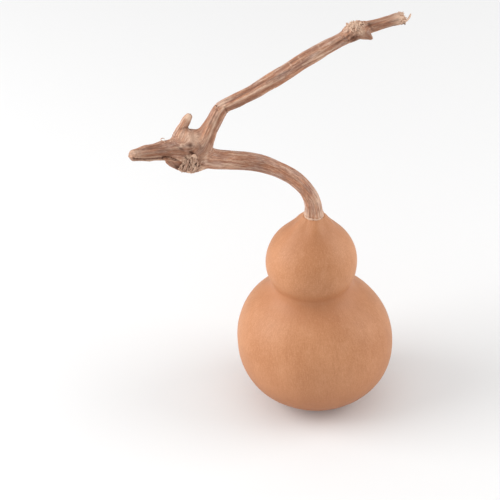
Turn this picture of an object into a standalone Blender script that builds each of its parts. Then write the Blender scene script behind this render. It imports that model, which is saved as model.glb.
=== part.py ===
"""A dried bottle gourd, as picked: the hard two-bulbed fruit with its curved stem still on it, and the
length of woody vine that the stem grew from. Metres, +Z up, the origin in the middle of the flat spot
that the fruit stands on. +X is to the right of the fruit as it faces the viewer, +Y is away from them."""

import math

import bmesh
import bpy
import numpy as np
from mathutils import Vector

MM = 0.001

# The fruit, in millimetres: two bulbs joined at a waist, a shoulder and a collar under the stem
LOWER_RADIUS = 38.45
LOWER_HALF_HEIGHT = 34.45
LOWER_CENTRE = 34.0
LOWER_FULLNESS_BELOW = 2.43
LOWER_FULLNESS_ABOVE = 2.0
UPPER_RADIUS = 22.7
UPPER_HALF_HEIGHT = 21.6
UPPER_CENTRE = 80.1
SHOULDER_RADIUS = 12.8
SHOULDER_HALF_HEIGHT = 15.6
SHOULDER_CENTRE = 92.4
COLLAR_RADIUS = 6.3
COLLAR_HALF_HEIGHT = 10.0
COLLAR_CENTRE = 102.4
WAIST_BLEND = 600.0
SHOULDER_BLEND = 139.0
COLLAR_BLEND = 30.0
SEAT_HEIGHT = 107.8

# How far the fruit's middle moves sideways: over the lower bulb, at the upper bulb, and up to the stem
LOWER_LEAN = -2.3
LOWER_LEAN_TOP = 62.0
UPPER_LEAN = -0.6
STEM_LEAN = 0.4

# Low ridges round the shoulder, where the stem's ribs run out into the fruit
LOBES = 5
LOBE_HEIGHT = 0.55
LOBE_CENTRE = 103.5
LOBE_SPREAD = 4.5
LOBE_TURN = math.radians(-12)

FRUIT_SIDES = 52
FRUIT_RING_STEP = 3.1

# Gap between the fruit's seat and the foot of the stem
SEAT_GAP = 0.3

# The stem, in millimetres: x, y, z and radius at each point, from its foot over to the vine's node
STEM_ROUTE = [
    (-2.0, 0.0, SEAT_HEIGHT + SEAT_GAP, 4.9),
    (-2.1, 0.0, 109.6, 4.45),
    (-2.4, 0.0, 113.6, 4.05),
    (-3.5, 0.0, 118.0, 3.85),
    (-5.8, -0.3, 122.7, 3.7),
    (-9.0, -0.6, 127.3, 3.75),
    (-13.8, -1.0, 132.0, 3.8),
    (-20.1, -1.5, 136.2, 3.9),
    (-27.3, -2.0, 139.6, 4.3),
    (-35.0, -2.5, 141.6, 4.5),
    (-42.9, -2.8, 142.4, 4.6),
    (-51.3, -3.0, 143.3, 5.0),
    (-59.3, -3.0, 146.0, 5.6),
]

# The vine's cut-off end that points left and forward from the node
LEFT_STUB_ROUTE = [
    (-59.3, -3.0, 148.2, 6.4),
    (-66.8, -4.2, 149.0, 5.8),
    (-72.8, -5.2, 149.4, 4.9),
    (-78.8, -6.8, 149.9, 4.0),
    (-84.3, -8.3, 150.0, 3.4),
    (-89.3, -9.7, 149.8, 2.6),
]

# The short leaf stalk that stands up from the node
LEAF_STUB_ROUTE = [
    (-65.7, -1.8, 152.0, 5.4),
    (-66.5, -0.8, 155.6, 3.9),
    (-65.3, 1.0, 159.0, 2.6),
    (-63.7, 2.5, 162.0, 2.25),
    (-62.5, 3.8, 163.3, 1.75),
]

# The vine from the node up to its bend
NECK_ROUTE = [
    (-59.3, -3.0, 147.5, 5.6),
    (-55.3, -1.6, 153.0, 5.4),
    (-52.3, 0.8, 158.8, 4.2),
    (-49.2, 2.6, 163.8, 3.75),
    (-47.2, 3.6, 167.2, 3.4),
]

# The long straight stretch of vine, from the bend to the knot
INTERNODE_ROUTE = [
    (-47.9, 3.6, 168.0, 3.0),
    (-44.3, 4.6, 169.6, 3.2),
    (-31.9, 8.0, 174.4, 3.5),
    (-18.7, 12.0, 181.2, 3.65),
    (-5.5, 16.4, 188.5, 3.7),
    (6.9, 20.4, 194.1, 3.25),
    (14.5, 22.9, 197.2, 3.15),
    (19.2, 24.3, 199.3, 3.0),
]

# The crusty collar of the next knot, with its thorn
KNOT_ROUTE = [
    (12.6, 22.3, 196.8, 2.9),
    (14.3, 22.8, 198.0, 4.0),
    (16.9, 23.6, 199.5, 4.1),
    (19.7, 24.4, 200.3, 3.9),
    (21.9, 25.2, 200.3, 3.0),
]
THORN_ROUTE = [
    (19.1, 23.6, 199.2, 2.8),
    (22.3, 21.9, 198.7, 2.3),
    (25.2, 20.5, 197.5, 1.0),
]

# The last stretch beyond the knot, broken off and frayed
TIP_ROUTE = [
    (17.2, 23.8, 199.4, 2.7),
    (23.7, 25.9, 200.5, 2.85),
    (31.3, 28.5, 201.2, 2.75),
    (41.0, 31.5, 202.4, 2.85),
]
SPLINTER_LENGTHS = [2.4, 3.6, 1.8, 5.2, 2.8, 1.6]
SPLINTER_RADIUS = 0.95
SPLINTER_TIP_RADIUS = 0.24
SPLINTER_ROOT = 1.5
SPLINTER_RING = 0.62
SPLINTER_SPREAD = 0.12
SPLINTER_TURN = 0.4
SPLINTER_SIDES = 6

# The swollen node: centre, half sizes and roughness of its main lump, its web and its torn scar
NODE_LUMPS = [
    ((-61.1, -3.0, 148.6), (10.2, 6.8, 8.6), 0.045, 3),
    ((-60.9, -1.2, 154.2), (6.6, 4.4, 4.6), 0.05, 2),
    ((-66.3, -4.2, 143.6), (7.6, 4.4, 4.0), 0.05, 3),
    ((-60.5, -4.2, 141.2), (6.4, 4.6, 4.4), 0.05, 3),
]

# Ribs along the woody pieces: how many, how deep as a share of the radius, and their turn per mm
STEM_RIBS = (7, 0.022, 0.006)
VINE_RIBS = (5, 0.085, 0.010)
KNOT_RIBS = (9, 0.06, 0.3)
NO_RIBS = (1, 0.0, 0.0)

# Rounded ends: length as a share of the radius, and the angles of the rings over the end
LEFT_STUB_DOME = 0.9
LEAF_STUB_DOME = 0.8
NECK_DOME = 0.6
DOME_RINGS = np.radians([35.0, 62.0, 80.0])

STATION_STEP = 3.4
WOOD_SIDES = 20
LEAF_STUB_SIDES = 12
THORN_SIDES = 10
SHARP_ANGLE = math.radians(50)

SKIN_COLOUR = (0.60, 0.31, 0.15, 1.0)
WOOD_COLOUR = (0.34, 0.20, 0.13, 1.0)


def smooth_max(a, b, blend):
    """The larger of a and b, rounded off where they come within blend of each other."""
    share = np.clip(0.5 + 0.5 * (a - b) / blend, 0.0, 1.0)
    return b + (a - b) * share + blend * share * (1.0 - share)


def bulb(z, radius, half_height, centre, below=2.0, above=2.0):
    """The squared radius of a bulb at height z, as 1 minus a power of the distance from its middle."""
    t = (z - centre) / half_height
    power = np.where(t < 0.0, np.abs(t) ** below, np.abs(t) ** above)
    return radius**2 * (1.0 - power)


def fruit_radius(z):
    """The fruit's radius at height z: four bulbs, rounded into each other."""
    lower = bulb(z, LOWER_RADIUS, LOWER_HALF_HEIGHT, LOWER_CENTRE, LOWER_FULLNESS_BELOW, LOWER_FULLNESS_ABOVE)
    upper = bulb(z, UPPER_RADIUS, UPPER_HALF_HEIGHT, UPPER_CENTRE)
    shoulder = bulb(z, SHOULDER_RADIUS, SHOULDER_HALF_HEIGHT, SHOULDER_CENTRE)
    collar = bulb(z, COLLAR_RADIUS, COLLAR_HALF_HEIGHT, COLLAR_CENTRE)
    square = smooth_max(lower, upper, WAIST_BLEND)
    square = smooth_max(square, shoulder, SHOULDER_BLEND)
    square = smooth_max(square, collar, COLLAR_BLEND)
    return np.sqrt(np.maximum(square, 0.0))


def fruit_lean(z):
    """How far the fruit's middle stands to the side at height z."""
    over_lower = np.clip(z / LOWER_LEAN_TOP, 0.0, 1.0)
    to_upper = np.exp(-(((z - UPPER_CENTRE) / UPPER_HALF_HEIGHT) ** 2))
    to_stem = np.clip((z - SHOULDER_CENTRE) / (SEAT_HEIGHT - SHOULDER_CENTRE), 0.0, 1.0)
    return LOWER_LEAN * over_lower + UPPER_LEAN * to_upper + STEM_LEAN * to_stem


def even_heights():
    """Heights from the flat spot to the seat, evenly spaced along the fruit's outline."""
    z = np.linspace(0.0, SEAT_HEIGHT, 2000)
    r = fruit_radius(z)
    along = np.concatenate([[0.0], np.cumsum(np.hypot(np.diff(z), np.diff(r)))])
    count = round(along[-1] / FRUIT_RING_STEP)
    return np.interp(np.linspace(0.0, along[-1], count), along, z)


def fruit_rings():
    z = even_heights()[:, None]
    turn = np.linspace(0.0, 2.0 * math.pi, FRUIT_SIDES, endpoint=False)[None, :]
    near_stem = np.exp(-(((z - LOBE_CENTRE) / LOBE_SPREAD) ** 2)) * (z < SEAT_HEIGHT)
    radius = fruit_radius(z) + LOBE_HEIGHT * near_stem * np.cos(LOBES * (turn - LOBE_TURN))
    x = fruit_lean(z) + radius * np.cos(turn)
    y = radius * np.sin(turn)
    return np.stack([x, y, np.broadcast_to(z, x.shape)], axis=-1)


def smooth_route(route, step=STATION_STEP):
    """Evenly spaced stations on a smooth curve through the route's points, each x, y, z and radius."""
    points = np.array(route, float)
    padded = np.vstack([2 * points[0] - points[1], points, 2 * points[-1] - points[-2]])
    stretches = []
    for a, b, c, d in zip(padded, padded[1:], padded[2:], padded[3:]):
        t = np.linspace(0.0, 1.0, 12, endpoint=False)[:, None]
        curve = b + 0.5 * t * (c - a) + t**2 * (a - 2.5 * b + 2 * c - 0.5 * d)
        stretches.append(curve + t**3 * (1.5 * (b - c) + 0.5 * (d - a)))
    fine = np.vstack([*stretches, points[-1:]])
    along = np.concatenate([[0.0], np.cumsum(np.linalg.norm(np.diff(fine[:, :3], axis=0), axis=1))])
    count = max(4, round(along[-1] / step) + 1)
    wanted = np.linspace(0.0, along[-1], count)
    return wanted, np.stack([np.interp(wanted, along, fine[:, k]) for k in range(4)], axis=1)


def wood_rings(route, ribs=NO_RIBS, sides=WOOD_SIDES, dome=0.0):
    """Rings round a route, square to it, with ribs that run along it and turn slowly, and with a rounded
    end if dome, its length as a share of the radius, isn't 0."""
    along, stations = smooth_route(route)
    centre, radius = stations[:, :3], stations[:, 3]
    forward = np.gradient(centre, axis=0)
    forward /= np.linalg.norm(forward, axis=1)[:, None]
    if dome:
        reach = np.sin(DOME_RINGS) * radius[-1] * dome
        centre = np.vstack([centre, centre[-1] + reach[:, None] * forward[-1]])
        radius = np.concatenate([radius, radius[-1] * np.cos(DOME_RINGS)])
        forward = np.vstack([forward, np.repeat(forward[-1:], len(reach), axis=0)])
        along = np.concatenate([along, along[-1] + reach])
    depth = np.array([0.0, 1.0, 0.0]) - forward * forward[:, 1:2]
    depth /= np.linalg.norm(depth, axis=1)[:, None]
    across = np.cross(forward, depth)
    turn = np.linspace(0.0, 2.0 * math.pi, sides, endpoint=False)
    count, share, twist = ribs
    bulge = 1.0 + share * np.cos(count * (turn[None, :] + twist * along[:, None]))
    size = radius[:, None] * bulge
    return (
        centre[:, None]
        + (size * np.cos(turn))[..., None] * across[:, None]
        - (size * np.sin(turn))[..., None] * depth[:, None]
    )


def skin(name, rings):
    """A closed mesh object through the rings, given in millimetres, with a flat face at each end."""
    count, sides = rings.shape[:2]
    k = np.arange(sides)
    row = np.arange(count - 1)[:, None] * sides
    nxt = (k + 1) % sides
    walls = np.stack([row + k, row + nxt, row + sides + nxt, row + sides + k], axis=-1).reshape(-1, 4)
    last = (count - 1) * sides
    faces = [*walls.tolist(), k[::-1].tolist(), (last + k).tolist()]
    mesh = bpy.data.meshes.new(name)
    mesh.from_pydata((rings.reshape(-1, 3) * MM).tolist(), [], faces)
    return place(name, mesh)


def place(name, mesh):
    """An object of the mesh, with its faces pointing out, smooth but for its sharp edges."""
    work = bmesh.new()
    work.from_mesh(mesh)
    bmesh.ops.recalc_face_normals(work, faces=work.faces)
    work.to_mesh(mesh)
    work.free()
    mesh.shade_smooth()
    mesh.set_sharp_from_angle(angle=SHARP_ANGLE)
    piece = bpy.data.objects.new(name, mesh)
    bpy.context.scene.collection.objects.link(piece)
    return piece


def lump(name, centre, half_sizes, roughness, detail):
    """A rounded lump whose surface rises and falls by the given share, by a sum of sine waves."""
    work = bmesh.new()
    bmesh.ops.create_icosphere(work, subdivisions=detail, radius=1.0)
    for v in work.verts:
        x, y, z = v.co
        wave = math.sin(5.1 * x + 2.0 * z) + math.sin(4.3 * y - 3.7 * x + 1.0) + math.sin(6.1 * z + 2.9 * y)
        grown = v.co * (1.0 + roughness * wave)
        v.co = Vector(c + g * h for c, g, h in zip(centre, grown, half_sizes)) * MM
    mesh = bpy.data.meshes.new(name)
    work.to_mesh(mesh)
    work.free()
    return place(name, mesh)


def splinters():
    """The frayed fibres at the broken tip, set in a ring, each a thin tapered spike."""
    _, stations = smooth_route(TIP_ROUTE)
    end, radius = stations[-1, :3], stations[-1, 3]
    forward = end - stations[-2, :3]
    forward /= np.linalg.norm(forward)
    depth = np.array([0.0, 1.0, 0.0]) - forward * forward[1]
    depth /= np.linalg.norm(depth)
    across = np.cross(forward, depth)
    made = []
    for k, length in enumerate(SPLINTER_LENGTHS):
        angle = 2.0 * math.pi * k / len(SPLINTER_LENGTHS) + SPLINTER_TURN
        out = math.cos(angle) * across + math.sin(angle) * depth
        root = end + out * radius * SPLINTER_RING - forward * SPLINTER_ROOT
        tip = end + out * radius * (SPLINTER_RING + SPLINTER_SPREAD) + forward * length
        route = [(*root, SPLINTER_RADIUS), (*tip, SPLINTER_TIP_RADIUS)]
        made.append(skin(f"splinter_{k}", wood_rings(route, sides=SPLINTER_SIDES)))
    return made


def fuse(name, first, others):
    """Joins the others into the first piece as one body, and removes them."""
    group = bpy.data.collections.new(name + "_pieces")
    for piece in others:
        group.objects.link(piece)
    union = first.modifiers.new("union", "BOOLEAN")
    union.operation = "UNION"
    union.operand_type = "COLLECTION"
    union.collection = group
    union.solver = "EXACT"
    graph = bpy.context.evaluated_depsgraph_get()
    joined = bpy.data.meshes.new_from_object(first.evaluated_get(graph))
    first.modifiers.clear()
    first.data = joined
    first.name = name
    for piece in others:
        bpy.data.objects.remove(piece)
    bpy.data.collections.remove(group)
    return first


def finish(name, colour, roughness):
    material = bpy.data.materials.new(name)
    material.use_nodes = True
    shader = material.node_tree.nodes["Principled BSDF"]
    shader.inputs["Base Color"].default_value = colour
    shader.inputs["Roughness"].default_value = roughness
    shader.inputs["Metallic"].default_value = 0.0
    return material


def make_fruit():
    fruit = skin("gourd_body", fruit_rings())
    fruit.data.materials.append(finish("dried_skin", SKIN_COLOUR, 0.5))
    return fruit


def make_vine():
    """The stem, the node, its two stubs, the bent vine, the knot and the frayed tip, grown as one."""
    stem = skin("stem", wood_rings(STEM_ROUTE, STEM_RIBS))
    others = [
        skin("left_stub", wood_rings(LEFT_STUB_ROUTE, VINE_RIBS, dome=LEFT_STUB_DOME)),
        skin("leaf_stub", wood_rings(LEAF_STUB_ROUTE, sides=LEAF_STUB_SIDES, dome=LEAF_STUB_DOME)),
        skin("neck", wood_rings(NECK_ROUTE, VINE_RIBS, dome=NECK_DOME)),
        skin("internode", wood_rings(INTERNODE_ROUTE, VINE_RIBS)),
        skin("knot", wood_rings(KNOT_ROUTE, KNOT_RIBS)),
        skin("thorn", wood_rings(THORN_ROUTE, sides=THORN_SIDES)),
        skin("tip", wood_rings(TIP_ROUTE, VINE_RIBS)),
        *splinters(),
    ]
    for k, (centre, half_sizes, roughness, detail) in enumerate(NODE_LUMPS):
        others.append(lump(f"node_lump_{k}", centre, half_sizes, roughness, detail))
    vine = fuse("stem_and_vine", stem, others)
    vine.data.materials.clear()
    vine.data.materials.append(finish("dried_wood", WOOD_COLOUR, 0.8))
    return vine


def main():
    for piece in list(bpy.data.objects):
        bpy.data.objects.remove(piece)
    gourd = bpy.data.objects.new("gourd", None)
    bpy.context.scene.collection.objects.link(gourd)
    for piece in (make_fruit(), make_vine()):
        piece.parent = gourd


main()
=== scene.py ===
import math
import bpy
import numpy as np
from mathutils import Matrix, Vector


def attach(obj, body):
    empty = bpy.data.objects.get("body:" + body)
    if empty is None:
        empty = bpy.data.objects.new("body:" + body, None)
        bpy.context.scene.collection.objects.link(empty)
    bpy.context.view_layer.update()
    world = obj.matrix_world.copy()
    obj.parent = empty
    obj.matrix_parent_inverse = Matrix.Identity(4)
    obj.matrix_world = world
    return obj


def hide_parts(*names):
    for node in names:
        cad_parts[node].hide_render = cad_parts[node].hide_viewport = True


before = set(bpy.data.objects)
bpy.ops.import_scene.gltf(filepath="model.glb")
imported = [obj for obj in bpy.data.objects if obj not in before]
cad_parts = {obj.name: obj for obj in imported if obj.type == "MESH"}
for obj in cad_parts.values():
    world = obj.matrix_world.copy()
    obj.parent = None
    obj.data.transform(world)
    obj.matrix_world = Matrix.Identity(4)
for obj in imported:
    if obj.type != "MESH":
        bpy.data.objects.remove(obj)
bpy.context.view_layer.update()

# The view of the photograph, taken first because marks on the wood are placed by where it shows them. The
# camera stands far off with a long lens and looks down 36 degrees. The image is 500 pixels wide and high.
MM = 0.001
IMAGE_SIDE = 500
PIXEL = 0.49 * MM
ELEVATION = math.radians(36.0)
CAMERA_DISTANCE = 2.5
FOOT_PIXEL = (313.0, 392.9)
FOOT_SHIFT = -2.3 * MM
SENSOR_WIDTH = 36.0
CLIP_END = 100.0

look = np.array([0.0, math.cos(ELEVATION), -math.sin(ELEVATION)])
image_up = np.array([0.0, math.sin(ELEVATION), math.cos(ELEVATION)])
image_right = np.array([1.0, 0.0, 0.0])
target = np.array([
    (IMAGE_SIDE / 2 - FOOT_PIXEL[0]) * PIXEL + FOOT_SHIFT,
    0.0,
    (FOOT_PIXEL[1] - IMAGE_SIDE / 2) * PIXEL / math.cos(ELEVATION),
])
camera_place = target - CAMERA_DISTANCE * look

camera_data = bpy.data.cameras.new("photo_camera")
camera_data.sensor_width = SENSOR_WIDTH
camera_data.lens = SENSOR_WIDTH * CAMERA_DISTANCE / (IMAGE_SIDE * PIXEL)
camera_data.clip_end = CLIP_END
camera = bpy.data.objects.new("photo_camera", camera_data)
camera.location = camera_place
camera.rotation_euler = Vector(look).to_track_quat("-Z", "Y").to_euler()
bpy.context.scene.collection.objects.link(camera)
bpy.context.scene.camera = camera


# The fruit: the gourd's hard shell, two bulbs joined at a waist, grown as one piece and dried until its
# rind turned tan. It stands on a flat spot under the lower bulb, and the stem grows out of its top.
LOWER_RADIUS = 38.45
LOWER_HALF_HEIGHT = 34.45
LOWER_CENTRE = 34.0
LOWER_FULLNESS_BELOW = 2.43
UPPER_RADIUS = 22.7
UPPER_HALF_HEIGHT = 21.6
UPPER_CENTRE = 80.1
SHOULDER_RADIUS = 12.8
SHOULDER_HALF_HEIGHT = 15.6
SHOULDER_CENTRE = 92.4
COLLAR_RADIUS = 6.3
COLLAR_HALF_HEIGHT = 10.0
COLLAR_CENTRE = 102.4
WAIST_BLEND = 600.0
SHOULDER_BLEND = 139.0
COLLAR_BLEND = 30.0
SEAT_HEIGHT = 107.8
LOWER_LEAN = -2.3
LOWER_LEAN_TOP = 62.0
UPPER_LEAN = -0.6
STEM_LEAN = 0.4
LOBES = 5
LOBE_HEIGHT = 0.55
LOBE_CENTRE = 103.5
LOBE_SPREAD = 4.5
LOBE_TURN = math.radians(-12)
PLEATS = 13
PLEAT_SHIFTS = 3
PLEAT_HEIGHT = 0.06
PLEAT_SPREAD = 3.0
FRUIT_SIDES = 256
WALL_RINGS = 300
BASE_RINGS = 12
BASE_SPAN = (0.04, 0.97)
OUTLINE_SAMPLES = 4000
GRAIN_RADIUS = 30.0

# Uneven growth: height in mm and width in mm of each size of swelling, which die out near both ends
SWELLINGS = [(0.34, 30.0), (0.13, 11.0), (0.035, 3.6)]
SWELLING_FADE = 6.0

# The blossom scar in the middle of the flat spot: a shallow hollow with a small nub in it
SCAR_DEPTH = 0.55
SCAR_WIDTH = 2.3
NUB_HEIGHT = 0.35
NUB_WIDTH = 0.8


def smooth_max(a, b, blend):
    """The larger of a and b, rounded off where they come within blend of each other."""
    share = np.clip(0.5 + 0.5 * (a - b) / blend, 0.0, 1.0)
    return b + (a - b) * share + blend * share * (1.0 - share)


def bulb(z, radius, half_height, centre, below=2.0):
    """The squared radius of a bulb at height z, as 1 minus a power of the distance from its middle."""
    t = (z - centre) / half_height
    return radius**2 * (1.0 - np.where(t < 0.0, np.abs(t) ** below, t**2))


def fruit_radius(z):
    """The fruit's radius at height z: four bulbs, rounded into each other."""
    lower = bulb(z, LOWER_RADIUS, LOWER_HALF_HEIGHT, LOWER_CENTRE, LOWER_FULLNESS_BELOW)
    upper = bulb(z, UPPER_RADIUS, UPPER_HALF_HEIGHT, UPPER_CENTRE)
    shoulder = bulb(z, SHOULDER_RADIUS, SHOULDER_HALF_HEIGHT, SHOULDER_CENTRE)
    collar = bulb(z, COLLAR_RADIUS, COLLAR_HALF_HEIGHT, COLLAR_CENTRE)
    square = smooth_max(lower, upper, WAIST_BLEND)
    square = smooth_max(square, shoulder, SHOULDER_BLEND)
    square = smooth_max(square, collar, COLLAR_BLEND)
    return np.sqrt(np.maximum(square, 0.0))


def fruit_lean(z):
    """How far the fruit's middle stands to the side at height z."""
    over_lower = np.clip(z / LOWER_LEAN_TOP, 0.0, 1.0)
    to_upper = np.exp(-(((z - UPPER_CENTRE) / UPPER_HALF_HEIGHT) ** 2))
    to_stem = np.clip((z - SHOULDER_CENTRE) / (SEAT_HEIGHT - SHOULDER_CENTRE), 0.0, 1.0)
    return LOWER_LEAN * over_lower + UPPER_LEAN * to_upper + STEM_LEAN * to_stem


def random_at(cell, seed):
    """A repeatable random number from 0 to 1 for each whole-number cell: the cell's three numbers times
    large odd numbers, mixed by shifts and scaled down."""
    mixed = cell[..., 0] * 374761393 + cell[..., 1] * 668265263 + cell[..., 2] * 2147483647 + seed * 144665
    mixed = (mixed ^ (mixed >> 13)) * 1274126177
    return ((mixed ^ (mixed >> 16)) & 0xFFFF) / 65535.0


def noise(points, seed=0):
    """Smooth noise from -1 to 1: the random numbers at the eight corners of each unit cell, blended by
    3t^2 - 2t^3 along each axis."""
    base = np.floor(points).astype(np.int64)
    t = points - base
    t = t * t * (3.0 - 2.0 * t)
    total = 0.0
    for corner in np.ndindex(2, 2, 2):
        weight = np.where(np.array(corner, bool), t, 1.0 - t).prod(axis=-1)
        total = total + weight * random_at(base + np.array(corner), seed)
    return 2.0 * total - 1.0


def ring_mesh(name, rings):
    """A closed mesh through rings[i, k], in mm: four-sided faces between neighbouring rings, and a fan to
    the middle of the first and of the last ring, with every face turned to point out."""
    count, sides = rings.shape[:2]
    k = np.arange(sides)
    nxt = (k + 1) % sides
    row = np.arange(count - 1)[:, None] * sides
    walls = np.stack([row + k, row + nxt, row + sides + nxt, row + sides + k], axis=-1).reshape(-1, 4)
    last = (count - 1) * sides
    first_pole = count * sides
    fans = [
        np.stack([nxt, k, np.full(sides, first_pole)], axis=-1),
        np.stack([last + k, last + nxt, np.full(sides, first_pole + 1)], axis=-1),
    ]
    points = np.vstack([rings.reshape(-1, 3), rings[0].mean(axis=0)[None], rings[-1].mean(axis=0)[None]])
    a, b, c = (points[walls[:, j]] - points[first_pole] for j in (0, 1, 2))
    inside_out = np.einsum("ij,ij->i", a, np.cross(b, c)).sum() < 0
    turned = -1 if inside_out else 1
    faces = [face for part in (walls, *fans) for face in part[:, ::turned].tolist()]
    mesh = bpy.data.meshes.new(name)
    mesh.from_pydata((points * MM).tolist(), [], faces)
    mesh.shade_smooth()
    return mesh


def store(mesh, name, values):
    """Keeps a number or a vector for every point of the mesh, for a material to read."""
    values = np.asarray(values, np.float32)
    if values.ndim == 1:
        mesh.attributes.new(name, "FLOAT", "POINT").data.foreach_set("value", values)
    else:
        mesh.attributes.new(name, "FLOAT_VECTOR", "POINT").data.foreach_set("vector", values.ravel())


def with_poles(values):
    """Ring values as one row, with the mean of the first and of the last ring for the two poles."""
    flat = values.reshape(-1, *values.shape[2:])
    return np.concatenate([flat, values[0].mean(axis=0)[None], values[-1].mean(axis=0)[None]])


def set_down(piece_name, mesh, material, node):
    """An object of the mesh, which rides on the one body and stands for a CAD node."""
    mesh.materials.append(material)
    piece = bpy.data.objects.new(piece_name, mesh)
    bpy.context.scene.collection.objects.link(piece)
    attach(piece, "root")
    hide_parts(node)


def fruit_relief(heights, turn, place):
    """How far the wall stands out from the plain outline: lobes and pleats by the stem, each a cosine round
    it times a bell along the height, and the swellings, which die out near both ends."""
    near_stem = np.exp(-(((heights - LOBE_CENTRE) / LOBE_SPREAD) ** 2))
    at_stem = np.exp(-(((heights - SEAT_HEIGHT) / PLEAT_SPREAD) ** 2))
    relief = LOBE_HEIGHT * near_stem * np.cos(LOBES * (turn - LOBE_TURN))
    relief = relief + PLEAT_HEIGHT * at_stem * np.cos(PLEATS * turn + np.sin(PLEAT_SHIFTS * turn))
    from_end = np.minimum(heights, SEAT_HEIGHT - heights)
    away_from_ends = np.clip(from_end / SWELLING_FADE, 0.0, 1.0)
    for k, (height, width) in enumerate(SWELLINGS):
        relief = relief + away_from_ends * height * noise(place / width, seed=11 + k)
    return relief


def fruit_rings():
    """Rings from the middle of the base out to its edge and up the wall to the seat, evenly spaced along
    the outline, with the turn and the length along the outline of each point."""
    inner = np.linspace(*BASE_SPAN, BASE_RINGS) * fruit_radius(0.0)
    z = np.linspace(0.0, SEAT_HEIGHT, OUTLINE_SAMPLES)
    r = fruit_radius(z)
    along = np.concatenate([[0.0], np.cumsum(np.hypot(np.diff(z), np.diff(r)))])
    wall_along = np.linspace(0.0, along[-1], WALL_RINGS)
    wall = np.interp(wall_along, along, z)
    heights = np.concatenate([np.zeros(BASE_RINGS), wall])[:, None]
    radius = np.concatenate([inner, fruit_radius(wall)])[:, None]
    length = np.concatenate([inner, inner[-1] + wall_along])[:, None]
    turn = np.linspace(0.0, 2.0 * math.pi, FRUIT_SIDES, endpoint=False)[None, :]
    direction = np.stack([np.cos(turn), np.sin(turn)], axis=-1) + 0.0 * heights[..., None]
    upright = np.broadcast_to(heights[..., None], (*direction.shape[:2], 1))
    place = np.concatenate([radius[..., None] * direction, upright], axis=-1)
    relief = fruit_relief(heights, turn, place)
    scar = SCAR_DEPTH * np.exp(-((radius / SCAR_WIDTH) ** 2))
    scar = scar - NUB_HEIGHT * np.exp(-((radius / NUB_WIDTH) ** 2))
    wide = (radius + relief * (heights > 0.0))[..., None] * direction
    x = wide[..., 0] + fruit_lean(heights)
    z = heights + scar * (heights == 0.0) + 0.0 * turn
    return np.stack([x, wide[..., 1], z], axis=-1), turn + 0.0 * heights, length + 0.0 * turn


def srgb(red, green, blue):
    """A colour given as its 0 to 255 screen values, as the light that Blender counts in."""
    share = np.array([red, green, blue]) / 255.0
    linear = np.where(share <= 0.04045, share / 12.92, ((share + 0.055) / 1.055) ** 2.4)
    return (*linear.tolist(), 1.0)


def add(tree, kind, settings=None, **sockets):
    """A node of this kind. Each socket, named in small letters, is linked if it is given a socket."""
    made = tree.nodes.new(kind)
    for name, value in (settings or {}).items():
        setattr(made, name, value)
    for name, value in sockets.items():
        socket = next(s for s in made.inputs if s.enabled and s.name.lower().replace(" ", "_") == name)
        if isinstance(value, bpy.types.NodeSocket):
            tree.links.new(value, socket)
        else:
            socket.default_value = value
    return made


def blend_colour(tree, share, first, second):
    """The first colour, turned into the second by share."""
    mix = add(tree, "ShaderNodeMix", {"data_type": "RGBA"}, factor=share, a=first, b=second)
    return next(s for s in mix.outputs if s.enabled)


def span(tree, value, low, high, to_low=0.0, to_high=1.0):
    """The value stretched so that low to high becomes to_low to to_high, and held there beyond."""
    limits = {"from_min": low, "from_max": high, "to_min": to_low, "to_max": to_high}
    return add(tree, "ShaderNodeMapRange", value=value, **limits).outputs["Result"]


def layered(tree, colour, layers):
    """The colour with layers laid over it in turn, each a value, the limits that stretch it into the share
    of the layer's colour, and that colour."""
    for value, limits, laid in layers:
        colour = blend_colour(tree, span(tree, value, *limits), colour, laid)
    return colour


def stretched_noise(tree, place, scale, detail=4.0, roughness=0.55):
    """Noise on a place, in mm or metres, whose scale is given for each direction."""
    mapped = add(tree, "ShaderNodeMapping", vector=place, scale=scale).outputs["Vector"]
    cloud = add(tree, "ShaderNodeTexNoise", vector=mapped, scale=1.0, detail=detail, roughness=roughness)
    return cloud.outputs["Fac"]


def calculate(tree, operation, first, second=0.0):
    """The sum, the product or another operation of two values."""
    made = tree.nodes.new("ShaderNodeMath")
    made.operation = operation
    for socket, value in zip(made.inputs, (first, second)):
        if isinstance(value, bpy.types.NodeSocket):
            tree.links.new(value, socket)
        else:
            socket.default_value = value
    return made.outputs["Value"]


def roughen(tree, shader, height, strength, depth):
    """Makes the shader's surface look as uneven as the height says, depth metres deep at most."""
    bump = add(tree, "ShaderNodeBump", strength=strength, distance=depth, height=height)
    tree.links.new(bump.outputs["Normal"], shader.inputs["Normal"])


def stored(tree, name, output="Fac"):
    """A value that the mesh keeps for every point."""
    return add(tree, "ShaderNodeAttribute", {"attribute_name": name}).outputs[output]


# Painted shade on the skin, darker in bands at the waist, round the stem and underneath: middle height,
# spread, share
PAINTED_SHADE_BANDS = [(66.8, 6.8, 0.52), (101.5, 5.5, 0.30), (0.0, 24.0, 1.0)]
SKIN_TAN = srgb(201, 142, 101)
SKIN_BROWN = srgb(184, 125, 84)
SKIN_PALE = srgb(214, 159, 122)
SKIN_STREAK_AND_SHADE = srgb(168, 108, 70)
SKIN_DOT = srgb(132, 84, 54)
SKIN_SCAR = srgb(120, 86, 66)
SKIN_ROUGHNESS = (0.45, 0.57)
SKIN_SPECULAR = 0.32
SKIN_BUMP_STRENGTH = 0.16
SKIN_BUMP_DEPTH = 0.2 * MM


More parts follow.
